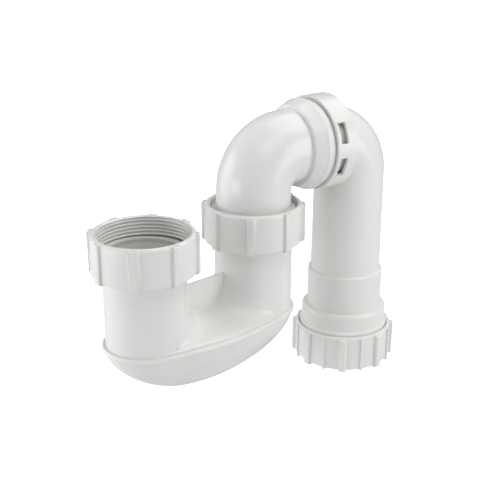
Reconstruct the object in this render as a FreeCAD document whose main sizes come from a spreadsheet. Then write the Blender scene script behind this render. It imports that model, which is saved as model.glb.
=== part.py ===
# Combination S and P trap for a 50 mm waste: a moulded U-bend with a welded
# bowl, two union nuts, and an outlet made of two elbows that turn on each other.
#
# The frame: the origin is the middle of the inlet nut's mouth, Z points up along
# the inlet leg, and X points from the inlet leg to the outlet leg. Millimetres.
import FreeCAD, Part
import math
import operator
import os

import Sketcher
from FreeCAD import Placement, Rotation, Vector

# Driving sizes, in millimetres and degrees. A drop is measured down from the
# plane of the nuts' mouths, and a reach out along the swivel axis from the
# outlet leg's axis.
SIZES = {
    # U-bend
    "leg_radius": 25.7,
    "wall": 2.4,
    "leg_pitch": 87.4,
    "bend_centre_drop": 46.3,
    "rim_drop": 72.0,
    "rim_width": 2.2,
    "rim_upper": 1.6,
    "rim_lower": 1.7,
    "rim_round": 1.0,
    "side_bulge": 6.4,
    "dome_rise": 6.0,
    "dome_overhang": 10.6,
    "bowl_flare": 0.9,
    "bowl_depth": 35.3,
    "web_top_drop": 43.0,
    "web_thickness": 2.0,
    # washers and the flanges that they lie on
    "washer_drop": 13.0,
    "washer_thickness": 2.5,
    "washer_margin": 0.4,
    "flange_thickness": 5.0,
    # union nuts: a plain bore where the thread is, then a wider relief
    "nut_lip": 4.2,
    "nut_bore_rise": 2.63,
    "nut_relief": 1.6,
    "nut_wall": 3.87,
    "nut_top_round": 2.2,
    "nut_foot_round": 1.0,
    "nut_rib_rise": 1.9,
    "nut_rib_width": 5.8,
    "nut_rib_depth": 3.6,
    "nut_rib_round": 1.5,
    "nut_rib_top": 0.2,
    "nut_rib_foot": 0.6,
    "inlet_nut_turn": 0.0,
    "union_nut_turn": 1.0,
    # clearances
    "thread_clearance": 0.33,
    "leg_clearance": 0.4,
    "seat_gap": 0.3,
    "running_gap": 0.3,
    "seal_gap": 0.02,
    # first elbow
    "swivel_turn": -6.0,
    "swivel_height": 33.2,
    "elbow_step": 1.3,
    "foot_draft": 0.3,
    "inner_corner": 0.4,
    "skirt_drop": 2.6,
    "skirt_edge": 0.8,
    "skirt_fillet": 1.8,
    # bell of the first elbow: each length follows on the one before it
    "bell_lead": 4.5,
    "bell_step": 0.6,
    "bell_step_rise": 2.6,
    "bell_cone": 6.6,
    "bell_cone_rise": 2.6,
    "crown_slope": 1.7,
    "crown_rise": 0.9,
    "crown_length": 1.8,
    "crown_round": 2.0,
    "shoulder_slope": 1.2,
    "shoulder_fall": 1.5,
    "shoulder_length": 2.8,
    "neck_slope": 0.6,
    "neck_wall": 3.6,
    "neck_length": 2.4,
    "bead_rise": 1.8,
    "bead_length": 2.2,
    "bead_slope": 2.4,
    "bell_tail": 4.4,
    "spigot_stop": 3.7,
    "groove_lead": 3.0,
    "groove_width": 3.9,
    "groove_depth": 4.1,
    # second elbow: spigot, collar, windows and snap barbs
    "spigot_step": 0.8,
    "spigot_gap": 0.6,
    "spigot_chamfer": 0.8,
    "collar_lap": 2.6,
    "collar_tail": 4.5,
    "collar_clearance": 0.4,
    "collar_wall": 2.1,
    "collar_round": 0.8,
    "collar_lead": 0.9,
    "collar_lead_depth": 1.2,
    "collar_end_gap": 0.6,
    "window_lap": 0.2,
    "window_length": 6.2,
    "window_angle": 25.5,
    "window_pitch": 43.2,
    "barb_lap": 2.0,
    "barb_slope": 0.9,
    "barb_length": 1.5,
    "barb_height": 1.4,
    # second elbow: bend, down pipe and socket
    "bend_gap": 0.3,
    "outlet_step": 0.5,
    "outlet_draft": 0.5,
    "step_one_drop": 62.6,
    "step_one_slope": 1.2,
    "step_one_rise": 2.3,
    "step_one_round": 1.5,
    "step_two_drop": 90.0,
    "step_two_wall": 2.1,
    "step_two_round": 3.2,
    "thread_drop": 102.2,
    "thread_slope": 1.4,
    "thread_wall": 3.5,
    "socket_end_drop": 121.0,
    "socket_chamfer": 1.2,
    "pipe_rise": 2.3,
    "pipe_clearance": 0.15,
    "pipe_stop_drop": 91.9,
    "seat_length": 5.0,
    "seat_width": 2.0,
    # outlet nut, its ring and its seal
    "outlet_nut_drop": 104.9,
    "outlet_nut_end_drop": 130.3,
    "outlet_nut_wall": 2.57,
    "outlet_nut_chamfer": 1.2,
    "outlet_nut_mouth": 0.8,
    "outlet_nut_lip": 3.4,
    "outlet_lip_clearance": 0.5,
    "outlet_rib_rise": 2.5,
    "outlet_rib_width": 5.2,
    "outlet_rib_depth": 3.9,
    "outlet_rib_top": 1.0,
    "outlet_rib_foot": 0.3,
    "thin_rib_rise": 1.1,
    "thin_rib_width": 1.7,
    "outlet_nut_turn": 5.4,
    "slip_ring_thickness": 1.3,
    "slip_ring_margin": 0.6,
    "cone_seal_tip": 2.0,
    "cone_seal_width": 2.6,
}

RIB_COUNT = 8
SIDES = (90, 270)
BOWL_POWER = 1.55
BOWL_SLICES = 9
BOWL_LAST_ANGLE = 87.5
MARGIN = 5.0
TOUCH = 0.01

doc = FreeCAD.newDocument("CombinationTrap")
sheet = doc.addObject("Spreadsheet::Sheet", "Sizes")
for row, (alias, number) in enumerate(SIZES.items(), start=1):
    sheet.set(f"A{row}", alias)
    sheet.set(f"B{row}", str(number))
    sheet.setAlias(f"B{row}", alias)
doc.recompute()

SIGNS = {"+": operator.add, "-": operator.sub, "*": operator.mul, "/": operator.truediv}


class Size:
    """A length or angle, as a number and as the sheet's expression for it."""

    def __init__(self, number, text):
        self.number = number
        self.text = text

    def __add__(self, other):
        return combine(self, "+", other)

    def __sub__(self, other):
        return combine(self, "-", other)

    def __mul__(self, other):
        return combine(self, "*", other)

    def __truediv__(self, other):
        return combine(self, "/", other)

    def __neg__(self):
        return combine(0.0, "-", self)


def as_size(value):
    return value if isinstance(value, Size) else Size(float(value), str(float(value)))


def combine(left, sign, right):
    left = as_size(left)
    right = as_size(right)
    return Size(SIGNS[sign](left.number, right.number), f"({left.text} {sign} {right.text})")


class Driving:
    """Gives each size of the sheet by its alias."""

    def __getattr__(self, alias):
        return Size(float(sheet.get(alias)), f"Sizes.{alias}")


size = Driving()
ZERO = Size(0.0, "0")

TURN_ABOUT_Y = Rotation(Vector(0, 1, 0), 90)
UPRIGHT = Rotation(Vector(1, 0, 0), 90)


def bind(item, path, value):
    item.setExpression(path, as_size(value).text)


def place(item, x=0.0, y=0.0, z=0.0):
    for axis, value in (("x", x), ("y", y), ("z", z)):
        bind(item, f"Placement.Base.{axis}", value)


def cylinder(name, radius, length, x=0.0, y=0.0, z=0.0):
    item = doc.addObject("Part::Cylinder", name)
    bind(item, "Radius", radius)
    bind(item, "Height", length)
    place(item, x, y, z)
    return item


def box(name, length, width, tall, x=0.0, y=0.0, z=0.0):
    item = doc.addObject("Part::Box", name)
    bind(item, "Length", length)
    bind(item, "Width", width)
    bind(item, "Height", tall)
    place(item, x, y, z)
    return item


def bend(name, bend_radius, tube_radius, angle, rotation, x, z):
    """Part of a ring of round tube, about an axis along Y."""
    item = doc.addObject("Part::Torus", name)
    bind(item, "Radius1", bend_radius)
    bind(item, "Radius2", tube_radius)
    item.Angle3 = angle
    item.Placement = Placement(Vector(), rotation)
    place(item, x, 0.0, z)
    return item


def fuse(name, pieces):
    item = doc.addObject("Part::MultiFuse", name)
    item.Shapes = pieces
    item.Refine = True
    return item


def chain(name, pieces):
    """Fuses pieces one after another, each to the run before it."""
    whole = pieces[0]
    for index, piece in enumerate(pieces[1:], start=1):
        whole = fuse(f"{name}{index}", [whole, piece])
    return whole


def cut(name, base, tool):
    item = doc.addObject("Part::Cut", name)
    item.Base = base
    item.Tool = tool
    item.Refine = True
    return item


def common(name, first, second):
    item = doc.addObject("Part::MultiCommon", name)
    item.Shapes = [first, second]
    return item


def outline(name, corners):
    """A closed sketch in the XZ plane, each corner tied to the sheet."""
    sketch = doc.addObject("Sketcher::SketchObject", name)
    sketch.Placement = Placement(Vector(), UPRIGHT)
    points = [Vector(as_size(x).number, as_size(z).number, 0) for x, z in corners]
    count = len(corners)
    for index in range(count):
        sketch.addGeometry(Part.LineSegment(points[index], points[(index + 1) % count]))
    for index in range(count):
        following = (index + 1) % count
        sketch.addConstraint(Sketcher.Constraint("Coincident", index, 2, following, 1))
    for index, (x, z) in enumerate(corners):
        tie(sketch, "DistanceX", index, x)
        tie(sketch, "DistanceY", index, z)
    return sketch


def tie(sketch, kind, index, value):
    number = as_size(value).number
    added = sketch.addConstraint(Sketcher.Constraint(kind, -1, 1, index, 1, number))
    bind(sketch, f"Constraints[{added}]", value)


def turned(name, corners, axis=Vector(0, 0, 1), centre_height=0.0):
    """A solid of revolution about an axis through X = 0 and the given height."""
    item = doc.addObject("Part::Revolution", name)
    item.Source = outline(name + "Outline", corners)
    item.Axis = axis
    bind(item, "Base.z", centre_height)
    item.Angle = 360
    item.Solid = True
    return item


def rounded(name, base, radius, wanted):
    """Rounds the edges of a solid for which wanted(edge) holds."""
    doc.recompute()
    edges = enumerate(base.Shape.Edges, start=1)
    by = radius.number
    item = doc.addObject("Part::Fillet", name)
    item.Base = base
    item.Edges = [(index, by, by) for index, edge in edges if wanted(edge)]
    return item


def is_ring(edge, radius, place_along, axis):
    """Whether an edge is a full circle of that radius at that place along an axis."""
    curve = edge.Curve
    if not isinstance(curve, Part.Circle):
        return False
    at = curve.Center.dot(axis)
    return abs(curve.Radius - radius.number) < TOUCH and abs(at - place_along.number) < TOUCH


# Oval outline: a round end about each leg, and side arcs that meet them smoothly

def oval_wire(end_radius, bulge, drop, scale=1.0):
    middle = size.leg_pitch.number / 2
    centre = (middle ** 2 - bulge ** 2) / (2 * bulge)
    reach = math.hypot(middle, centre)
    touch_x = -middle / reach * end_radius
    touch_y = centre / reach * end_radius

    def point(x, y):
        return Vector(middle + (x - middle) * scale, y * scale, -drop)

    far = 2 * middle
    arcs = [
        Part.Arc(point(touch_x, touch_y), point(middle, end_radius + bulge),
                 point(far - touch_x, touch_y)),
        Part.Arc(point(far - touch_x, touch_y), point(far + end_radius, 0),
                 point(far - touch_x, -touch_y)),
        Part.Arc(point(far - touch_x, -touch_y), point(middle, -end_radius - bulge),
                 point(touch_x, -touch_y)),
        Part.Arc(point(touch_x, -touch_y), point(-end_radius, 0), point(touch_x, touch_y)),
    ]
    return Part.Wire([arc.toShape() for arc in arcs])


def feature(name, shape):
    item = doc.addObject("Part::Feature", name)
    item.Shape = shape
    return item


def oval_block(name, end_radius, top_drop, bottom_drop):
    wire = oval_wire(end_radius.number, size.side_bulge.number, bottom_drop.number)
    rise = bottom_drop.number - top_drop.number
    return feature(name, Part.Face(wire).extrude(Vector(0, 0, rise)))


def bowl_block(name, inset):
    """The bowl's round underside, drawn in by the inset on all sides."""
    top = (size.rim_drop + size.rim_upper + size.rim_lower).number
    depth = size.bowl_depth.number - inset
    end_radius = (size.leg_radius + size.bowl_flare).number - inset
    slices = []
    for step in range(BOWL_SLICES + 1):
        angle = math.radians(BOWL_LAST_ANGLE * step / BOWL_SLICES)
        scale = math.cos(angle)
        drop = top + depth * math.sin(angle) ** (2 / BOWL_POWER)
        slices.append(oval_wire(end_radius, size.side_bulge.number, drop, scale))
    return feature(name, Part.makeLoft(slices, True))


# U-bend, upper half: two legs, the bend between them, a low dome and a web

seam_drop = size.rim_drop + size.rim_upper
leg_bore = size.leg_radius - size.wall
leg_top = size.washer_drop + size.washer_thickness
flange_bottom = leg_top + size.flange_thickness
nut_bore = size.leg_radius + size.nut_bore_rise
flange_radius = nut_bore - size.thread_clearance
half_pitch = size.leg_pitch / 2
HANGING = Rotation(Vector(1, 0, 0), Vector(0, 0, -1), Vector(0, 1, 0), "XZY")


def bend_block(name, leg_radius, dome_inset):
    """Legs, bend and dome of the given leg radius, down to the seam."""
    pieces = []
    past_seam = seam_drop + MARGIN
    for x in (ZERO, size.leg_pitch):
        length = past_seam - leg_top
        pieces.append(cylinder(name + "Leg", leg_radius, length, x=x, z=-past_seam))
    pieces.insert(
        1, bend(name + "Bend", half_pitch, leg_radius, 180, HANGING, half_pitch,
                -size.bend_centre_drop))
    dome = doc.addObject("Part::Ellipsoid", name + "Dome")
    bind(dome, "Radius1", size.dome_rise - dome_inset)
    bind(dome, "Radius2", half_pitch + size.leg_radius + size.dome_overhang - dome_inset)
    bind(dome, "Radius3", size.leg_radius + size.side_bulge + size.rim_round - dome_inset)
    dome.Angle1 = -90
    place(dome, x=half_pitch, z=-size.rim_drop)
    end_radius = size.leg_radius - dome_inset
    limit = oval_block(name + "Limit", end_radius, leg_top, past_seam)
    pieces.append(common(name + "DomeTrimmed", dome, limit))
    whole = chain(name + "Whole", pieces)
    above = box(name + "Above", size.leg_pitch * 2, size.leg_pitch, seam_drop,
                x=-half_pitch, y=-half_pitch, z=-seam_drop)
    return common(name, whole, above)


def upper_body():
    skin = bend_block("BendSkin", size.leg_radius, ZERO)
    hollow = bend_block("BendHollow", leg_bore, size.wall)
    solids = [skin]
    for x in (ZERO, size.leg_pitch):
        solids.append(
            cylinder("LegFlange", flange_radius, size.flange_thickness, x=x, z=-flange_bottom))
    web_bottom = size.bend_centre_drop + half_pitch - size.leg_radius + size.wall / 2
    solids.append(
        box("Web", size.leg_pitch - size.leg_radius * 2 + size.wall, size.web_thickness,
            web_bottom - size.web_top_drop, x=size.leg_radius - size.wall / 2,
            y=-size.web_thickness / 2, z=-web_bottom))
    rim = oval_block("UpperRim", size.leg_radius + size.rim_width, size.rim_drop, seam_drop)
    rim_top = -size.rim_drop.number
    solids.append(
        rounded("UpperRimRound", rim, size.rim_round,
                lambda edge: abs(edge.CenterOfMass.z - rim_top) < TOUCH))
    body = fuse("UpperSolid", solids)
    inner = oval_block("SeamHollow", size.leg_radius - size.wall, size.rim_drop, seam_drop)
    return cut("UpperBody", body, fuse("UpperHollow", [hollow, inner]))


def lower_bowl():
    rim_bottom = seam_drop + size.rim_lower
    rim = oval_block("LowerRim", size.leg_radius + size.rim_width, seam_drop, rim_bottom)
    rim_low = -rim_bottom.number
    lip = rounded("LowerRimRound", rim, size.rim_lower / 2,
                  lambda edge: abs(edge.CenterOfMass.z - rim_low) < TOUCH)
    solid = fuse("BowlSolid", [lip, bowl_block("BowlSkin", 0.0)])
    wall = size.wall.number
    mouth = oval_block("BowlMouth", size.leg_radius + size.bowl_flare - size.wall,
                       seam_drop, rim_bottom)
    hollow = fuse("BowlSpace", [mouth, bowl_block("BowlHollow", wall)])
    return cut("LowerBowl", solid, hollow)


# Washers and nuts

nut_radius = nut_bore + size.nut_wall
nut_relief_radius = nut_bore + size.nut_relief
UP = Vector(0, 0, 1)


def washer(name):
    outer = nut_bore - size.washer_margin
    ring = cylinder(name + "Disc", outer, size.washer_thickness, z=-leg_top)
    hole = cylinder(name + "Hole", leg_bore, size.washer_thickness, z=-leg_top)
    return cut(name, ring, hole)


def ribs(name, count, first_angle, reach, width, depth, top, bottom, round_by=None):
    """Upright grip ribs round a nut, each a bar with its outer edges rounded."""
    pieces = []
    for index in range(count):
        bar = box(name + "Bar", depth, width, top - bottom, x=reach - depth, y=-width / 2,
                  z=bottom)
        if round_by is not None:
            bar = rounded(name + "Round", bar, round_by, rib_edge(reach))
        angle = first_angle.number + index * 360 / count
        rib = doc.addObject("Part::Compound", name)
        rib.Links = [bar]
        rib.Placement = Placement(Vector(), Rotation(Vector(0, 0, 1), angle))
        pieces.append(rib)
    return pieces


def rib_edge(reach):
    """Picks the four edges of a rib's outer face."""

    def wanted(edge):
        return abs(edge.CenterOfMass.x - reach.number) < TOUCH

    return wanted


def union_nut(name, turn):
    lip_top = -(flange_bottom + size.seat_gap)
    bottom = lip_top - size.nut_lip
    lip_radius = size.leg_radius + size.leg_clearance
    body = turned(name + "Body", [
        (lip_radius, bottom),
        (nut_radius, bottom),
        (nut_radius, ZERO),
        (nut_bore, ZERO),
        (nut_bore, -size.washer_drop),
        (nut_relief_radius, -size.washer_drop),
        (nut_relief_radius, lip_top),
        (lip_radius, lip_top),
    ])
    soft = rounded(name + "Top", body, size.nut_top_round,
                   lambda edge: is_ring(edge, nut_radius, ZERO, UP))
    soft = rounded(name + "Foot", soft, size.nut_foot_round,
                   lambda edge: is_ring(edge, nut_radius, bottom, UP))
    grip = ribs(name + "Rib", RIB_COUNT, turn, nut_radius + size.nut_rib_rise,
                size.nut_rib_width, size.nut_rib_depth, -size.nut_rib_top,
                bottom - size.nut_rib_foot, size.nut_rib_round)
    return fuse(name, [soft] + grip)


# First elbow: a threaded foot in the union nut, a bend, and a bell

elbow_radius = size.leg_radius - size.elbow_step
elbow_foot_radius = elbow_radius + size.foot_draft
elbow_bend = elbow_radius + size.inner_corner
elbow_bore = elbow_radius - size.wall
bend_height = size.swivel_height - elbow_bend
spigot_radius = elbow_radius - size.spigot_step
guide_radius = spigot_radius + size.running_gap

bell_start = elbow_bend + size.bell_lead
cone_start = bell_start + size.bell_step
cone_start_radius = elbow_radius + size.bell_step_rise
cone_end = cone_start + size.bell_cone
cone_end_radius = cone_start_radius + size.bell_cone_rise
crown_start = cone_end + size.crown_slope
crown_end = crown_start + size.crown_length
crown_radius = cone_end_radius + size.crown_rise
shoulder_start = crown_end + size.shoulder_slope
shoulder_end = shoulder_start + size.shoulder_length
shoulder_radius = crown_radius - size.shoulder_fall
neck_start = shoulder_end + size.neck_slope
neck_radius = spigot_radius + size.neck_wall
bead_start = neck_start + size.neck_length
bead_radius = neck_radius + size.bead_rise
bead_end = bead_start + size.bead_length
bead_foot = bead_end + size.bead_slope
bell_end = bead_foot + size.bell_tail
spigot_stop = bell_start + size.spigot_stop
groove_start = spigot_stop + size.groove_lead
groove_end = groove_start + size.groove_width
groove_radius = spigot_radius + size.groove_depth

SIDEWAYS = Vector(1, 0, 0)
RISING = Rotation(Vector(-1, 0, 0), Vector(0, 0, 1), Vector(0, 1, 0), "XZY")
FALLING = Rotation(Vector(0, 0, 1), Vector(1, 0, 0), Vector(0, 1, 0), "XZY")


def about_swivel(reach, radius):
    """A corner of an outline, under the swivel axis, that is turned about it."""
    return (reach, size.swivel_height - radius)


def turned_on_swivel(name, corners):
    points = [about_swivel(reach, radius) for reach, radius in corners]
    return turned(name, points, SIDEWAYS, size.swivel_height)


def swivel_elbow():
    skirt_bottom = -(size.washer_drop - size.seat_gap)
    foot = turned("ElbowFoot", [
        (ZERO, skirt_bottom),
        (flange_radius - size.skirt_edge, skirt_bottom),
        (flange_radius, skirt_bottom + size.skirt_edge),
        (flange_radius, -(size.skirt_drop + size.skirt_edge)),
        (flange_radius - size.skirt_edge, -size.skirt_drop),
        (elbow_foot_radius, -size.skirt_drop),
        (elbow_radius, bend_height),
        (ZERO, bend_height),
    ])
    foot = rounded("ElbowFootRound", foot, size.skirt_fillet,
                   lambda edge: is_ring(edge, elbow_foot_radius, -size.skirt_drop, UP))
    turn = bend("ElbowBend", elbow_bend, elbow_radius, 90, RISING, elbow_bend, bend_height)
    bell = turned_on_swivel("Bell", [
        (elbow_bend, ZERO),
        (elbow_bend, elbow_radius),
        (bell_start, elbow_radius),
        (cone_start, cone_start_radius),
        (cone_end, cone_end_radius),
        (crown_start, crown_radius),
        (crown_end, crown_radius),
        (shoulder_start, shoulder_radius),
        (shoulder_end, shoulder_radius),
        (neck_start, neck_radius),
        (bead_start, neck_radius),
        (bead_start, bead_radius),
        (bead_end, bead_radius),
        (bead_foot, neck_radius),
        (bell_end, neck_radius),
        (bell_end, ZERO),
    ])
    bell = rounded("BellRound", bell, size.crown_round,
                   lambda edge: is_ring(edge, crown_radius, crown_start, SIDEWAYS)
                   or is_ring(edge, crown_radius, crown_end, SIDEWAYS))
    solid = chain("ElbowSolid", [foot, turn, bell])
    bore_bottom = skirt_bottom - MARGIN
    bore = cylinder("ElbowBore", elbow_bore, bend_height - bore_bottom, z=bore_bottom)
    bore_turn = bend("ElbowBoreBend", elbow_bend, elbow_bore, 90, RISING, elbow_bend, bend_height)
    socket = turned_on_swivel("BellHollow", [
        (elbow_bend, ZERO),
        (elbow_bend, elbow_bore),
        (spigot_stop, elbow_bore),
        (spigot_stop, guide_radius),
        (groove_start, guide_radius),
        (groove_start, groove_radius),
        (groove_end, groove_radius),
        (groove_end, guide_radius),
        (bell_end + MARGIN, guide_radius),
        (bell_end + MARGIN, ZERO),
    ])
    return cut("SwivelElbow", solid, chain("ElbowWaterway", [bore, bore_turn, socket]))


def swivel_seal():
    """The ring that fills the bell's groove round the spigot."""
    outer = groove_radius - size.seal_gap
    ring = doc.addObject("Part::Torus", "SwivelSeal")
    bind(ring, "Radius1", (guide_radius + outer) / 2)
    bind(ring, "Radius2", (outer - guide_radius) / 2)
    ring.Placement = Placement(Vector(), TURN_ABOUT_Y)
    place(ring, x=(groove_start + groove_end) / 2, z=size.swivel_height)
    holder = doc.addObject("Part::Compound", "SealHolder")
    holder.Links = [ring]
    return holder


# Second elbow: a spigot and a snap-on collar, a bend, and a pipe with a socket

outlet_radius = spigot_radius + size.outlet_step
outlet_foot_radius = outlet_radius + size.outlet_draft
outlet_bend = outlet_radius + size.inner_corner
outlet_bore = outlet_radius - size.wall
outlet_bend_height = size.swivel_height - outlet_bend
cavity_end = bell_end + size.collar_end_gap
outlet_bend_reach = cavity_end + size.bend_gap
outlet_reach = outlet_bend_reach + outlet_bend
collar_start = bead_start - size.collar_lap
collar_end = bell_end + size.collar_tail
collar_bore = bead_radius + size.collar_clearance
collar_radius = collar_bore + size.collar_wall
window_start = bead_start - size.window_lap
barb_start = bead_start - size.barb_lap
pipe_radius = size.leg_radius + size.pipe_rise
socket_bore = pipe_radius + size.pipe_clearance
step_one_radius = outlet_radius + size.step_one_rise
step_two_radius = pipe_radius + size.step_two_wall
thread_radius = pipe_radius + size.thread_wall


def wedges(name, start, end):
    """One wedge for each window, two on each side, from the swivel axis out."""
    pieces = []
    for side in SIDES:
        for half in (-size.window_pitch.number / 2, size.window_pitch.number / 2):
            wedge = cylinder(name, collar_radius + MARGIN, end - start)
            bind(wedge, "Angle", size.window_angle)
            roll = Rotation(SIDEWAYS, side + half - size.window_angle.number / 2)
            wedge.Placement = Placement(Vector(), roll * TURN_ABOUT_Y)
            place(wedge, x=start, z=size.swivel_height)
            pieces.append(wedge)
    return pieces


def collar():
    """The windowed collar, with a barb inside its mouth at each window."""
    ring = turned_on_swivel("CollarRing", [
        (collar_start, collar_bore + size.collar_lead_depth),
        (collar_start, collar_radius),
        (collar_end, collar_radius),
        (collar_end, outlet_bore),
        (cavity_end, outlet_bore),
        (cavity_end, collar_bore),
        (collar_start + size.collar_lead, collar_bore),
    ])
    ring = rounded("CollarRound", ring, size.collar_round,
                   lambda edge: is_ring(edge, collar_radius, collar_start, SIDEWAYS))
    windows = wedges("Window", window_start, window_start + size.window_length)
    open_ring = cut("CollarOpen", ring, fuse("Windows", windows))
    barb_end = barb_start + size.barb_length
    barb_radius = collar_bore - size.barb_height
    barb_root = collar_bore + size.collar_wall / 2
    barb_ring = turned_on_swivel("BarbRing", [
        (barb_start, collar_bore),
        (barb_start + size.barb_slope, barb_radius),
        (barb_end, barb_radius),
        (barb_end, barb_root),
        (barb_start, barb_root),
    ])
    barb_wedges = fuse("BarbWedges", wedges("BarbWedge", barb_start, barb_end))
    return fuse("Collar", [open_ring, common("Barbs", barb_ring, barb_wedges)])


def on_down_pipe(item):
    """Moves a solid turned about Z out to the down pipe's axis."""
    holder = doc.addObject("Part::Compound", item.Name + "Set")
    holder.Links = [item]
    place(holder, x=outlet_reach)
    return holder


def outlet_elbow():
    spigot_start = spigot_stop + size.spigot_gap
    spigot = turned_on_swivel("Spigot", [
        (spigot_start, ZERO),
        (spigot_start, spigot_radius - size.spigot_chamfer),
        (spigot_start + size.spigot_chamfer, spigot_radius),
        (cavity_end, spigot_radius),
        (cavity_end, outlet_radius),
        (outlet_bend_reach, outlet_radius),
        (outlet_bend_reach, ZERO),
    ])
    turn = bend("OutletBend", outlet_bend, outlet_radius, 90, FALLING, outlet_bend_reach,
                outlet_bend_height)
    step_one_foot = size.step_one_drop + size.step_one_slope
    pipe = turned("DownPipe", [
        (ZERO, outlet_bend_height),
        (ZERO, -size.socket_end_drop),
        (thread_radius - size.socket_chamfer, -size.socket_end_drop),
        (thread_radius, -(size.socket_end_drop - size.socket_chamfer)),
        (thread_radius, -(size.thread_drop + size.thread_slope)),
        (step_two_radius, -size.thread_drop),
        (step_two_radius, -size.step_two_drop),
        (step_one_radius, -size.step_two_drop),
        (step_one_radius, -step_one_foot),
        (outlet_foot_radius, -size.step_one_drop),
        (outlet_radius, outlet_bend_height),
    ])
    pipe = rounded("StepOneRound", pipe, size.step_one_round,
                   lambda edge: is_ring(edge, step_one_radius, -step_one_foot, UP))
    pipe = rounded("StepTwoRound", pipe, size.step_two_round,
                   lambda edge: is_ring(edge, step_two_radius, -size.step_two_drop, UP))
    tube = fuse("OutletTube", [turn, on_down_pipe(pipe)])
    solid = fuse("OutletSolid", [fuse("CollarSpigot", [spigot, collar()]), tube])
    bore = turned_on_swivel("SpigotBore", [
        (spigot_start - MARGIN, ZERO),
        (spigot_start - MARGIN, outlet_bore),
        (outlet_bend_reach, outlet_bore),
        (outlet_bend_reach, ZERO),
    ])
    bore_turn = bend("OutletBoreBend", outlet_bend, outlet_bore, 90, FALLING, outlet_bend_reach,
                     outlet_bend_height)
    lower_bore = step_one_radius - size.wall
    seat_start = size.socket_end_drop - size.seat_length
    bore_step = step_one_foot + size.wall
    hollow = turned("PipeHollow", [
        (ZERO, outlet_bend_height),
        (ZERO, -(size.socket_end_drop + MARGIN)),
        (socket_bore + size.seat_width, -(size.socket_end_drop + MARGIN)),
        (socket_bore + size.seat_width, -size.socket_end_drop),
        (socket_bore, -seat_start),
        (socket_bore, -size.pipe_stop_drop),
        (lower_bore, -size.pipe_stop_drop),
        (lower_bore, -bore_step),
        (outlet_bore, -(bore_step - size.step_one_slope)),
        (outlet_bore, outlet_bend_height),
    ])
    waterway = chain("OutletWaterway", [bore, bore_turn, on_down_pipe(hollow)])
    return cut("OutletElbow", solid, waterway)


# Outlet nut, with the slip ring and the cone seal that it presses on the pipe

nut_floor = size.outlet_nut_end_drop - size.outlet_nut_lip
ring_bottom = nut_floor - size.seat_gap
ring_top = ring_bottom - size.slip_ring_thickness
outlet_nut_bore = thread_radius + size.thread_clearance
outlet_nut_radius = outlet_nut_bore + size.outlet_nut_wall
seal_bore = pipe_radius + size.running_gap


def outlet_nut():
    bottom = -size.outlet_nut_end_drop
    top = -size.outlet_nut_drop
    lip = pipe_radius + size.outlet_lip_clearance
    edge_by = size.outlet_nut_chamfer
    body = turned("OutletNutBody", [
        (lip, bottom),
        (outlet_nut_radius - edge_by, bottom),
        (outlet_nut_radius, bottom + edge_by),
        (outlet_nut_radius, top - edge_by),
        (outlet_nut_radius - edge_by, top),
        (outlet_nut_bore + size.outlet_nut_mouth, top),
        (outlet_nut_bore, top - size.outlet_nut_mouth),
        (outlet_nut_bore, -nut_floor),
        (lip, -nut_floor),
    ])
    rib_top = top - size.outlet_rib_top
    rib_bottom = bottom - size.outlet_rib_foot
    broad = ribs("BroadRib", RIB_COUNT, size.outlet_nut_turn,
                 outlet_nut_radius + size.outlet_rib_rise, size.outlet_rib_width,
                 size.outlet_rib_depth, rib_top, rib_bottom, size.nut_rib_round)
    halfway = size.outlet_nut_turn + 180 / RIB_COUNT
    thin_depth = size.outlet_rib_depth - (size.outlet_rib_rise - size.thin_rib_rise)
    thin = ribs("ThinRib", RIB_COUNT, halfway, outlet_nut_radius + size.thin_rib_rise,
                size.thin_rib_width, thin_depth, rib_top, rib_bottom)
    return fuse("OutletNut", [body] + broad + thin)


def slip_ring():
    outer = outlet_nut_bore - size.slip_ring_margin
    disc = cylinder("SlipDisc", outer, size.slip_ring_thickness, z=-ring_bottom)
    hole = cylinder("SlipHole", seal_bore, size.slip_ring_thickness, z=-ring_bottom)
    return cut("SlipRing", disc, hole)


def cone_seal():
    """A wedge ring: its foot lies on the slip ring and its cone in the socket's seat."""
    slope = size.seat_width / size.seat_length
    end = size.socket_end_drop
    seat_edge = socket_bore + size.seat_width - size.seal_gap
    tip = end - size.seat_length + size.cone_seal_tip
    rise = end - tip
    foot_radius = seal_bore + size.cone_seal_width
    return turned("ConeSeal", [
        (seal_bore, -ring_top),
        (foot_radius, -ring_top),
        (foot_radius, -(end + (foot_radius - seat_edge))),
        (seat_edge, -end),
        (seat_edge - slope * rise, -tip),
        (seal_bore, -tip),
    ])


# Each piece at its own place

def own_place(item, x=0.0, turn=0.0, reach=0.0):
    """Sets a piece on its leg, turned about it, and out along the swivel axis."""
    rotation = Rotation(Vector(0, 0, 1), turn)
    out = rotation.multVec(Vector(reach, 0, 0))
    item.Placement = Placement(Vector(x, 0, 0) + out, rotation)


pitch = size.leg_pitch.number
swing = size.swivel_turn.number
down = outlet_reach.number

nodes = {
    "upper_body": (upper_body(), 0.0, 0.0, 0.0),
    "lower_bowl": (lower_bowl(), 0.0, 0.0, 0.0),
    "inlet_washer": (washer("InletWasher"), 0.0, 0.0, 0.0),
    "inlet_nut": (union_nut("InletNut", size.inlet_nut_turn), 0.0, 0.0, 0.0),
    "union_washer": (washer("UnionWasher"), pitch, 0.0, 0.0),
    "union_nut": (union_nut("UnionNut", size.union_nut_turn), pitch, 0.0, 0.0),
    "swivel_elbow": (swivel_elbow(), pitch, swing, 0.0),
    "swivel_seal": (swivel_seal(), pitch, swing, 0.0),
    "outlet_elbow": (outlet_elbow(), pitch, swing, 0.0),
    "cone_seal": (cone_seal(), pitch, swing, down),
    "slip_ring": (slip_ring(), pitch, swing, down),
    "outlet_nut": (outlet_nut(), pitch, swing, down),
}
for name, (item, x, turn, reach) in nodes.items():
    own_place(item, x, turn, reach)
    item.Label = name
doc.recompute()

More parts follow.
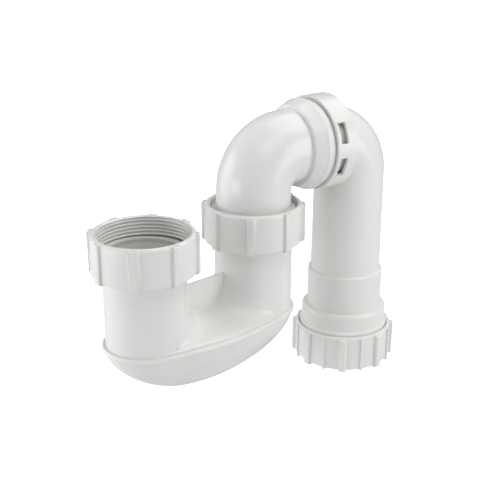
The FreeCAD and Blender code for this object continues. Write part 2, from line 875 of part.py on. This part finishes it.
faults = [item.Label for item in doc.Objects if {"Invalid", "Error"} & set(item.State)]
for name, (item, *_) in nodes.items():
    if item.Shape.isNull() or not item.Shape.isValid() or not item.Shape.Solids:
        faults.append(name)
if faults:
    raise RuntimeError("These did not build: " + ", ".join(faults))

os.makedirs("parts", exist_ok=True)
for name, (item, *_) in nodes.items():
    item.Shape.exportStep(f"parts/{name}.step")
    shape = item.Shape
    low = shape.BoundBox
    print(f"{name}: {len(shape.Solids)} solid, {shape.Volume / 1000:.2f} cm3, "
          f"x {low.XMin:.1f}..{low.XMax:.1f}, y {low.YMin:.1f}..{low.YMax:.1f}, "
          f"z {low.ZMin:.1f}..{low.ZMax:.1f}")
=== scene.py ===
# %% [markdown]
# # A 50 mm combination S and P trap, dressed for its picture
# The solids of the trap come in as a fixed frame: a U-bend with a welded bowl, two
# union nuts, and an outlet of two elbows. Each step below first says what a piece or
# a finish is on the real trap, and then makes it. All lengths are in metres, and a
# comment gives millimetres where that reads better.

# %% Load the solids and keep their box
import math

import bpy
from mathutils import Matrix, Vector


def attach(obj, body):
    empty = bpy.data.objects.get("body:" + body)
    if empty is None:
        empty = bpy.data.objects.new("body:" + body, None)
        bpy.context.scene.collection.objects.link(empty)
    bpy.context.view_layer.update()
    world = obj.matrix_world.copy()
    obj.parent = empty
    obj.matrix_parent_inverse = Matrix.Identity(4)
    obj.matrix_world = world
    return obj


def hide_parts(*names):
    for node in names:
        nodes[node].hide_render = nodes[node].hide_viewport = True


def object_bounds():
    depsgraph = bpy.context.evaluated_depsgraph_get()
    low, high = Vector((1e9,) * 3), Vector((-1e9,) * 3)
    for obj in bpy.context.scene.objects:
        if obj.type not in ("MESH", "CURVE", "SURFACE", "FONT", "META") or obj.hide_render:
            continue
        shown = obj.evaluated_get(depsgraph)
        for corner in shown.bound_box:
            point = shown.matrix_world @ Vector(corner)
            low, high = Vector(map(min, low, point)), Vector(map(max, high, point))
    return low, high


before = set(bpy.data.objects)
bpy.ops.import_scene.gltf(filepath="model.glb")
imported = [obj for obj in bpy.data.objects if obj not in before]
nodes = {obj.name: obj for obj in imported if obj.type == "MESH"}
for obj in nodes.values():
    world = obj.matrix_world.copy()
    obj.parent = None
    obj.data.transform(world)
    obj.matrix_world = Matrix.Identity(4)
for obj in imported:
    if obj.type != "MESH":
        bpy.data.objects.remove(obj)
cad_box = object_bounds()
MM = 0.001
print("nodes:", sorted(nodes))

# %% [markdown]
# ## The viewpoint
# The trap is seen from a little above, from the inlet's side, as on a catalogue page.
# The lens is long, about 70 mm on a 36 mm frame, so the upright legs stay nearly
# parallel. The camera is built from the three directions of its view: right, up and
# back. That needs no aiming by eye, and the same three directions place the lamps.

# %% Camera
LEG_PITCH = 87.4 * MM
HEADING = math.radians(40.51)
DIP = math.radians(20.37)
DISTANCE = 604.73 * MM
ASIDE = -9.99 * MM
ALOFT = -24.73 * MM
FOCAL_PIXELS = 927.94
FRAME_PIXELS = 480
SENSOR_MM = 36.0
CENTRE_X = 238.03
CENTRE_Y = 239.72
NEAREST_SEEN = 10 * MM

right = Vector((math.cos(HEADING), -math.sin(HEADING), 0))
level = Vector((math.sin(HEADING), math.cos(HEADING), 0))
ahead = level * math.cos(DIP) - Vector((0, 0, 1)) * math.sin(DIP)
up = right.cross(ahead)
eye = Vector((LEG_PITCH, 0, 0)) - ahead * DISTANCE + right * ASIDE + up * ALOFT

bpy.ops.object.camera_add(location=eye)
camera = bpy.context.object
camera.name = "view_camera"
camera.matrix_world = Matrix((
    (right.x, up.x, -ahead.x, eye.x),
    (right.y, up.y, -ahead.y, eye.y),
    (right.z, up.z, -ahead.z, eye.z),
    (0, 0, 0, 1),
))
camera.data.sensor_width = SENSOR_MM
camera.data.lens = FOCAL_PIXELS * SENSOR_MM / FRAME_PIXELS
camera.data.shift_x = (FRAME_PIXELS / 2 - CENTRE_X) / FRAME_PIXELS
camera.data.shift_y = (CENTRE_Y - FRAME_PIXELS / 2) / FRAME_PIXELS
camera.data.clip_start = NEAREST_SEEN
bpy.context.scene.camera = camera
print("lens:", round(camera.data.lens, 2), "mm")

# %% [markdown]
# ## The floor and the white backdrop
# The trap hangs by its inlet in front of plain white, a little above the floor. Strong
# light on the floor would make it white too, but it would also wash out the trap. So
# the floor is matt, and a Light Path node adds a glow that only the camera sees. The
# shadow on it stays, faintly.

# %% Floor
MATT_WHITE = (0.8, 0.8, 0.8, 1)
FLOOR_SIZE = 6.0
FLOOR_DROP = 45 * MM
FLOOR_GLOW = 0.88

bpy.ops.mesh.primitive_plane_add(
    size=FLOOR_SIZE, location=(0, 0, cad_box[0][2] - FLOOR_DROP))
floor = bpy.context.object
floor.name = "floor"


def new_material(name):
    """An empty node material with its output node."""
    material = bpy.data.materials.new(name)
    material.use_nodes = True
    tree = material.node_tree
    tree.nodes.clear()
    output = tree.nodes.new("ShaderNodeOutputMaterial")
    return material, tree, output


def wire(tree, source, target):
    """Joins an output socket to an input socket."""
    tree.links.new(source, target)


def seen_plainly(tree):
    """1 for rays from the camera, straight or through glass."""
    path = tree.nodes.new("ShaderNodeLightPath")
    either = tree.nodes.new("ShaderNodeMath")
    either.operation = "MAXIMUM"
    wire(tree, path.outputs["Is Camera Ray"], either.inputs[0])
    wire(tree, path.outputs["Is Transmission Ray"], either.inputs[1])
    return either.outputs[0]


white, tree, output = new_material("white_floor")
matt = tree.nodes.new("ShaderNodeBsdfDiffuse")
matt.inputs["Color"].default_value = MATT_WHITE
glow = tree.nodes.new("ShaderNodeEmission")
glow.inputs["Strength"].default_value = FLOOR_GLOW
shaded = tree.nodes.new("ShaderNodeAddShader")
mix = tree.nodes.new("ShaderNodeMixShader")
wire(tree, matt.outputs[0], shaded.inputs[0])
wire(tree, glow.outputs[0], shaded.inputs[1])
wire(tree, seen_plainly(tree), mix.inputs[0])
wire(tree, matt.outputs[0], mix.inputs[1])
wire(tree, shaded.outputs[0], mix.inputs[2])
wire(tree, mix.outputs[0], output.inputs["Surface"])
floor.data.materials.append(white)
print("floor:", round(floor.location.z / MM, 1), "mm")

# %% [markdown]
# ## The air round the trap
# White plastic shows its form only by the soft steps between lighter and darker
# surroundings. If its gloss saw the white backdrop, its edges would burn out. So the
# world is white to the camera alone, and everything else sees grey air, a little
# darker behind the trap than in front of it.

# %% World
PURE_WHITE = (1.0, 1.0, 1.0, 1)
AIR_FRONT = 0.3
AIR_BEHIND = 0.26
AIR_CHANGE_START = -0.2
AIR_CHANGE_END = 0.7

world = bpy.data.worlds.new("studio")
bpy.context.scene.world = world
world.use_nodes = True
tree = world.node_tree
tree.nodes.clear()
output = tree.nodes.new("ShaderNodeOutputWorld")
direction = tree.nodes.new("ShaderNodeTexCoord")
behind = tree.nodes.new("ShaderNodeVectorMath")
behind.operation = "DOT_PRODUCT"
behind.inputs[1].default_value = level
falloff = tree.nodes.new("ShaderNodeMapRange")
falloff.inputs["From Min"].default_value = AIR_CHANGE_START
falloff.inputs["From Max"].default_value = AIR_CHANGE_END
falloff.inputs["To Min"].default_value = AIR_FRONT
falloff.inputs["To Max"].default_value = AIR_BEHIND
soft_air = tree.nodes.new("ShaderNodeBackground")
soft_air.inputs["Color"].default_value = PURE_WHITE
backdrop = tree.nodes.new("ShaderNodeBackground")
backdrop.inputs["Color"].default_value = PURE_WHITE
backdrop.inputs["Strength"].default_value = 1.0
mix = tree.nodes.new("ShaderNodeMixShader")
wire(tree, direction.outputs["Generated"], behind.inputs[0])
wire(tree, behind.outputs["Value"], falloff.inputs["Value"])
wire(tree, falloff.outputs[0], soft_air.inputs["Strength"])
wire(tree, seen_plainly(tree), mix.inputs[0])
wire(tree, soft_air.outputs[0], mix.inputs[1])
wire(tree, backdrop.outputs[0], mix.inputs[2])
wire(tree, mix.outputs[0], output.inputs["Surface"])
print("air:", AIR_FRONT, "in front,", AIR_BEHIND, "behind")

# %% [markdown]
# ## The lamps
# A bare bulb would leave hard sparks on the gloss. Wide area lamps leave long soft
# strips along the pipes instead, which is how a studio lights white plastic. They
# stand low at the left, behind at the left, right, above, and over the camera.

# %% Lamps
MIDDLE = Vector((0.09, -0.005, -0.03))
# Each lamp: degrees right of the camera, height over the middle, distance from it,
# width and height of the lamp itself, all in metres, and watts.
LAMPS = {
    "lamp_left": (-58, -0.15, 0.8, 0.5, 0.6, 3.6),
    "lamp_left_behind": (-98, 0.05, 0.8, 0.6, 0.9, 3.7),
    "lamp_right": (70, 0.15, 0.9, 0.6, 0.6, 3.0),
    "lamp_top": (125, 0.85, 0.35, 1.0, 0.7, 4.6),
    "lamp_over_camera": (10, 0.8, 0.55, 0.7, 0.5, 1.8),
}
bpy.context.scene.view_settings.view_transform = "Standard"


def soft_lamp(name, bearing, height, distance, width, tall, watts):
    """An area lamp aimed at the trap's middle."""
    turn = math.radians(bearing)
    place = MIDDLE + (right * math.sin(turn) - level * math.cos(turn)) * distance
    place.z += height
    bpy.ops.object.light_add(type="AREA", location=place)
    light = bpy.context.object
    light.name = name
    light.data.shape = "RECTANGLE"
    light.data.size = width
    light.data.size_y = tall
    light.data.energy = watts
    light.rotation_euler = (MIDDLE - place).to_track_quat("-Z", "Y").to_euler()


for name, values in LAMPS.items():
    soft_lamp(name, *values)
print("lamps:", len(LAMPS))

# %% [markdown]
# ## White moulded plastic
# The pipes, nuts and bowl are one white plastic, glossy and faintly warm. A moulding
# isn't perfectly even: its gloss wanders a little, and its skin has a very shallow
# waviness that breaks long highlights. An image would need a map on every piece, so
# both come from noise on Object coordinates, which stay put on the piece. The colour
# is constant and sits on the shader. The seals are a pale grey and duller.

# %% Plastic
PLASTIC_WHITE = (0.8, 0.792, 0.777, 1)
PLASTIC_ROUGHNESS = 0.19
SEAL_GREY = (0.62, 0.62, 0.6, 1)
SEAL_ROUGHNESS = 0.45
SEALS = {"inlet_washer", "union_washer", "swivel_seal", "cone_seal"}
PLASTIC_IOR = 1.49
GLOSSIER = 0.03
DULLER = 0.05
GLOSS_SCALE = 35.0
GLOSS_DETAIL = 2.0
WAVE_SCALE = 160.0
WAVE_DETAIL = 3.0
WAVE_STRENGTH = 0.04
WAVE_DEPTH = 0.4 * MM


def moulded_plastic(name, colour, roughness):
    """Plastic with a slightly uneven gloss and a shallow waviness."""
    material, tree, output = new_material(name)
    shader = tree.nodes.new("ShaderNodeBsdfPrincipled")
    shader.inputs["Base Color"].default_value = colour
    shader.inputs["IOR"].default_value = PLASTIC_IOR
    place = tree.nodes.new("ShaderNodeTexCoord")
    cloudy = tree.nodes.new("ShaderNodeTexNoise")
    cloudy.inputs["Scale"].default_value = GLOSS_SCALE
    cloudy.inputs["Detail"].default_value = GLOSS_DETAIL
    spread = tree.nodes.new("ShaderNodeMapRange")
    spread.inputs["To Min"].default_value = roughness - GLOSSIER
    spread.inputs["To Max"].default_value = roughness + DULLER
    fine = tree.nodes.new("ShaderNodeTexNoise")
    fine.inputs["Scale"].default_value = WAVE_SCALE
    fine.inputs["Detail"].default_value = WAVE_DETAIL
    bump = tree.nodes.new("ShaderNodeBump")
    bump.inputs["Strength"].default_value = WAVE_STRENGTH
    bump.inputs["Distance"].default_value = WAVE_DEPTH
    wire(tree, place.outputs["Object"], cloudy.inputs["Vector"])
    wire(tree, place.outputs["Object"], fine.inputs["Vector"])
    wire(tree, cloudy.outputs["Fac"], spread.inputs["Value"])
    wire(tree, spread.outputs[0], shader.inputs["Roughness"])
    wire(tree, fine.outputs["Fac"], bump.inputs["Height"])
    wire(tree, bump.outputs[0], shader.inputs["Normal"])
    wire(tree, shader.outputs[0], output.inputs["Surface"])
    return material


def dress(piece, material):
    """Gives the whole piece one material."""
    piece.data.materials.clear()
    piece.data.materials.append(material)
    for face in piece.data.polygons:
        face.material_index = 0


white_plastic = moulded_plastic("white_plastic", PLASTIC_WHITE, PLASTIC_ROUGHNESS)
soft_seal = moulded_plastic("soft_seal", SEAL_GREY, SEAL_ROUGHNESS)
for name, node in nodes.items():
    dress(node, soft_seal if name in SEALS else white_plastic)
print("dressed:", len(nodes), "nodes,", len(SEALS), "of them seals")

# %% [markdown]
# ## Shared steps for the new pieces
# The solids' own meshes stay as they are. A piece that needs more than they have is
# worked on a copy, whose doubled points are merged first so that the cuts close. A
# new piece is made at its place, and the place is then moved into its points, because
# a pattern on Object coordinates would otherwise slide.

# %% Helpers
SMOOTH_UNDER = math.radians(35)
MERGE_WITHIN = 0.005 * MM
UPRIGHT = (math.radians(90), 0, 0)


def pick_only(piece):
    """Leaves the piece as the only one selected, and active."""
    bpy.ops.object.select_all(action="DESELECT")
    piece.select_set(True)
    bpy.context.view_layer.objects.active = piece


def apply_all(piece):
    """Applies the piece's modifiers in their order."""
    pick_only(piece)
    for modifier in list(piece.modifiers):
        bpy.ops.object.modifier_apply(modifier=modifier.name)


def in_edit_mode(piece, *steps):
    """Runs mesh operators in edit mode, starting with all points selected."""
    pick_only(piece)
    bpy.ops.object.mode_set(mode="EDIT")
    bpy.ops.mesh.select_all(action="SELECT")
    for step in steps:
        step()
    bpy.ops.object.mode_set(mode="OBJECT")


def fix_place(piece):
    """Moves the piece's place into its points, so that it sits at the origin."""
    pick_only(piece)
    bpy.ops.object.transform_apply(location=True, rotation=True, scale=True)


def copy_of(name, new_name):
    """A copy of a node with its doubled points merged."""
    piece = nodes[name].copy()
    piece.data = nodes[name].data.copy()
    piece.name = new_name
    bpy.context.collection.objects.link(piece)
    in_edit_mode(piece, lambda: bpy.ops.mesh.remove_doubles(threshold=MERGE_WITHIN))
    return piece


def soften(piece):
    """Shades smoothly, except over sharp edges."""
    pick_only(piece)
    bpy.ops.object.shade_smooth_by_angle(angle=SMOOTH_UNDER)


def cut_out(piece, tool):
    """Cuts the tool out of the piece and throws the tool away."""
    cutting = piece.modifiers.new("cut", "BOOLEAN")
    cutting.operation = "DIFFERENCE"
    cutting.solver = "EXACT"
    cutting.object = tool
    apply_all(piece)
    bpy.data.objects.remove(tool, do_unlink=True)


# %% [markdown]
# ## The thread inside the union nuts
# It is a right-hand pipe thread of 11 to the inch, so each turn drops 2.309 mm. The
# nut's plain bore is the thread's crest, and one long V groove, 1.5 mm deep, winds
# down it to the washer. A bump in the material would look flat at the open mouth, so
# the groove is really cut. Its cutter starts as a circle of three corners, that is a
# small triangle, which a Screw modifier winds about the nut's axis.

# %% Thread cutter
THREAD_PITCH = 25.4 / 11 * MM
THREAD_TURNS = 7
THREAD_STEPS = 72
GROOVE_TIP = 29.8 * MM
GROOVE_SIZE = 1.2 * MM
GROOVE_START = 1.2 * MM


def thread_tool(x):
    """A closed V coil about an upright axis, from above the mouth down."""
    bpy.ops.mesh.primitive_circle_add(
        vertices=3, radius=GROOVE_SIZE, location=(GROOVE_TIP - GROOVE_SIZE, 0, GROOVE_START),
        rotation=(math.radians(90), math.radians(90), 0))
    tool = bpy.context.object
    fix_place(tool)
    winding = tool.modifiers.new("winding", "SCREW")
    winding.axis = "Z"
    winding.angle = math.tau
    winding.iterations = THREAD_TURNS
    winding.screw_offset = -THREAD_PITCH
    winding.steps = THREAD_STEPS
    winding.use_merge_vertices = False
    apply_all(tool)
    in_edit_mode(
        tool,
        lambda: bpy.ops.mesh.select_all(action="DESELECT"),
        lambda: bpy.ops.mesh.select_non_manifold(extend=False),
        lambda: bpy.ops.mesh.fill(),
        lambda: bpy.ops.mesh.select_all(action="SELECT"),
        lambda: bpy.ops.mesh.normals_make_consistent(inside=False),
    )
    tool.location.x = x
    fix_place(tool)
    return tool


print("thread:", round(THREAD_PITCH / MM, 3), "mm a turn,", THREAD_TURNS, "turns")

# %% [markdown]
# A thread that began at a sharp edge would be hard to start, so the mouth opens in a
# short cone. The cone reaches as far above the nut as below it, because a cutter that
# ends level with a face leaves ragged scraps. Each threaded nut then takes the place of
# the plain one, and rides the same body.

# %% Threaded nuts
ROUND_STEPS = 144
NUT_BORE = 28.33 * MM
MOUTH_RADIUS = 29.5 * MM
MOUTH_DEPTH = 1.2 * MM
NUTS = {"inlet_nut": ("inlet_union", 0.0), "union_nut": ("outlet_union", LEG_PITCH)}


def mouth_tool(x):
    """A cone as wide as the mouth at the nut's top and as the bore below it."""
    slope = (MOUTH_RADIUS - NUT_BORE) / MOUTH_DEPTH
    bpy.ops.mesh.primitive_cone_add(
        vertices=ROUND_STEPS, radius1=NUT_BORE, radius2=MOUTH_RADIUS + slope * MOUTH_DEPTH,
        depth=2 * MOUTH_DEPTH, location=(x, 0, 0))
    tool = bpy.context.object
    fix_place(tool)
    return tool


for name, (body, x) in NUTS.items():
    threaded = copy_of(name, name + "_threaded")
    cut_out(threaded, mouth_tool(x))
    cut_out(threaded, thread_tool(x))
    soften(threaded)
    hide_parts(name)
    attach(threaded, body)
    dress(threaded, white_plastic)
    print(threaded.name, len(threaded.data.polygons), "faces")

# %% [markdown]
# ## The moulded saddle over the bend
# On the real trap the legs, the bend and the low dome between them are one moulding,
# and they run into each other without an edge. The solids meet in creases there. A
# bevel wants creases of one even angle, and these fade out to nothing. So the same
# four forms are joined again, and a voxel remesh makes one fine even skin of them.

# %% Join the four forms
HALF_PITCH = LEG_PITCH / 2
LEG_RADIUS = 25.7 * MM
LEG_LENGTH = 60 * MM
LEG_MIDDLE = -50 * MM
BEND_CENTRE = -46.3 * MM
RIM_TOP = -72.0 * MM
DOME_RISE = 6.0 * MM
DOME_LENGTH = 80.0 * MM
DOME_WIDTH = 33.1 * MM
VOXEL = 0.9 * MM


def joined_forms():
    """The two legs, the bend and the dome as one even mesh."""
    forms = []
    for x in (0.0, LEG_PITCH):
        bpy.ops.mesh.primitive_cylinder_add(
            vertices=180, radius=LEG_RADIUS, depth=LEG_LENGTH, location=(x, 0, LEG_MIDDLE))
        forms.append(bpy.context.object)
    bpy.ops.mesh.primitive_torus_add(
        major_radius=HALF_PITCH, minor_radius=LEG_RADIUS, major_segments=180,
        minor_segments=120, location=(HALF_PITCH, 0, BEND_CENTRE), rotation=UPRIGHT)
    forms.append(bpy.context.object)
    bpy.ops.mesh.primitive_uv_sphere_add(
        segments=160, ring_count=80, radius=1, location=(HALF_PITCH, 0, RIM_TOP),
        scale=(DOME_LENGTH, DOME_WIDTH, DOME_RISE))
    forms.append(bpy.context.object)
    skin = forms[0]
    pick_only(skin)
    for form in forms:
        form.select_set(True)
    bpy.ops.object.join()
    fix_place(skin)
    even = skin.modifiers.new("even", "REMESH")
    even.mode = "VOXEL"
    even.voxel_size = VOXEL
    apply_all(skin)
    return skin


saddle = joined_forms()
saddle.name = "saddle_skin"
print("joined forms:", len(saddle.data.vertices), "points")

# %% [markdown]
# The creases are now rubbed smooth. A vertex group holds the rubbing to the throat
# between the legs, and fades it out towards both legs and upwards, because a rubbed
# rim would bulge. The skin is then sunk a little, so that it lies just under the
# solids' own walls wherever nothing was filled.

# %% Rub the creases smooth
RUBS = 240
SINK = 0.12 * MM
FADE_TOP = -46 * MM
FADE_FOOT = -54 * MM
ZONE_FULL = 26 * MM
ZONE_END = 40 * MM


def rub_smooth(skin):
    """Smooths the throat of the skin, and sinks all of it a little."""
    throat = skin.vertex_groups.new(name="throat")
    for vertex in skin.data.vertices:
        away = abs(vertex.co.x - HALF_PITCH)
        across = (ZONE_END - away) / (ZONE_END - ZONE_FULL)
        down = (FADE_TOP - vertex.co.z) / (FADE_TOP - FADE_FOOT)
        share = min(max(across, 0.0), 1.0) * min(max(down, 0.0), 1.0)
        throat.add([vertex.index], share, "REPLACE")
    rub = skin.modifiers.new("rub", "SMOOTH")
    rub.factor = 0.5
    rub.iterations = RUBS
    rub.vertex_group = "throat"
    sink = skin.modifiers.new("sink", "DISPLACE")
    sink.mid_level = 0.0
    sink.strength = -SINK
    apply_all(skin)


rub_smooth(saddle)
print("rubbed", RUBS, "times")

# %% [markdown]
# Only the skin that fills the creases is kept, with a narrow margin that dips under
# the walls on both sides, so that no edge of it shows. What lies outside the four
# forms is found by arithmetic: each form's surface has a simple formula.

# %% Keep what fills the creases
SKIN_TOP = -45.0 * MM
SKIN_FOOT = -71.9 * MM
SKIN_THICKNESS = 0.7 * MM
SUNK_MARGIN = 0.3 * MM


def height_over_forms(point):
    """How far a point lies outside the legs, the bend and the dome, joined."""
    x, y, z = point
    legs = min(math.hypot(x, y), math.hypot(x - LEG_PITCH, y)) - LEG_RADIUS
    ring = math.hypot(x - HALF_PITCH, z - BEND_CENTRE) - HALF_PITCH
    bend = math.hypot(ring, y) - LEG_RADIUS
    share = ((x - HALF_PITCH) / DOME_LENGTH) ** 2 + (y / DOME_WIDTH) ** 2
    dome = z - RIM_TOP - DOME_RISE * math.sqrt(max(1 - share, 0))
    return min(legs, bend, dome)


def keep_fill(skin):
    """Deletes the faces that don't fill a crease."""
    pick_only(skin)
    for face in skin.data.polygons:
        in_height = SKIN_FOOT < face.center.z < SKIN_TOP
        near = abs(face.center.x - HALF_PITCH) < ZONE_END
        filling = height_over_forms(face.center) > -SUNK_MARGIN
        face.select = not (in_height and near and filling)
    bpy.ops.object.mode_set(mode="EDIT")
    bpy.ops.mesh.select_mode(type="FACE")
    bpy.ops.mesh.delete(type="FACE")
    bpy.ops.object.mode_set(mode="OBJECT")


keep_fill(saddle)
thick = saddle.modifiers.new("thick", "SOLIDIFY")
thick.thickness = SKIN_THICKNESS
thick.offset = -1
apply_all(saddle)
for face in saddle.data.polygons:
    face.use_smooth = True
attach(saddle, "trap")
dress(saddle, white_plastic)
print("saddle_skin", len(saddle.data.polygons), "faces")

# %% [markdown]
# ## The bead round the web
# The flat web in the throat is moulded in with a thin rounded bead along its foot, on
# both faces. It runs down one leg, round the throat and up the other leg. A bevelled
# curve would do as well, but the throat is half a circle, so half a thin torus already
# lies along it. Its two ends are pulled up to the web's top and closed.

# %% Web bead
WEB_TOP = -43.0 * MM
WEB_FACE = 1.0 * MM
BEAD_RADIUS = 0.7 * MM


def web_bead(side):
    """A thin round bead along the web's foot, on one of its faces."""
    bpy.ops.mesh.primitive_torus_add(
        major_radius=HALF_PITCH - LEG_RADIUS, minor_radius=BEAD_RADIUS, major_segments=80,
        minor_segments=12, location=(HALF_PITCH, side * WEB_FACE, BEND_CENTRE),
        rotation=UPRIGHT)
    bead = bpy.context.object
    fix_place(bead)
    rise = (0, 0, WEB_TOP - BEND_CENTRE)
    in_edit_mode(
        bead,
        lambda: bpy.ops.mesh.bisect(
            plane_co=(HALF_PITCH, 0, BEND_CENTRE), plane_no=(0, 0, 1), clear_outer=True),
        lambda: bpy.ops.mesh.extrude_region_move(TRANSFORM_OT_translate={"value": rise}),
        lambda: bpy.ops.mesh.fill(),
        lambda: bpy.ops.mesh.select_all(action="SELECT"),
        lambda: bpy.ops.mesh.normals_make_consistent(inside=False),
    )
    return bead


for side, name in ((-1, "web_bead_front"), (1, "web_bead_back")):
    bead = web_bead(side)
    bead.name = name
    soften(bead)
    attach(bead, "trap")
    dress(bead, white_plastic)
    print(name, len(bead.data.polygons), "faces")

# %% [markdown]
# ## The lip in the collar's mouth
# The second elbow's collar closes on the bell's shoulder with a thin inner lip, so no
# dark gap shows between the two. It is a thin disc about the swivel's axis with a hole
# cut in it, and it stays 0.3 mm clear of the neck that it runs round.

# %% Collar lip
SWIVEL_TURN = math.radians(-6)
SWIVEL_HEIGHT = 33.2 * MM
LIP_START = 44.7 * MM
LIP_END = 45.2 * MM
LIP_INNER = 27.5 * MM
LIP_OUTER = 30.0 * MM


def on_swivel(radius, depth, along):
    """A disc about the swivel's axis, with its middle so far along it."""
    place = (LEG_PITCH + along * math.cos(SWIVEL_TURN), along * math.sin(SWIVEL_TURN),
             SWIVEL_HEIGHT)
    bpy.ops.mesh.primitive_cylinder_add(
        vertices=ROUND_STEPS, radius=radius, depth=depth, location=place,
        rotation=(0, math.radians(90), SWIVEL_TURN))
    disc = bpy.context.object
    fix_place(disc)
    return disc


lip_middle = (LIP_START + LIP_END) / 2
lip_depth = LIP_END - LIP_START
lip = on_swivel(LIP_OUTER, lip_depth, lip_middle)
lip.name = "collar_lip"
cut_out(lip, on_swivel(LIP_INNER, 3 * lip_depth, lip_middle))
soften(lip)
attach(lip, "second_elbow")
dress(lip, white_plastic)
print("collar_lip", [round(v / MM, 1) for v in lip.dimensions], "mm")
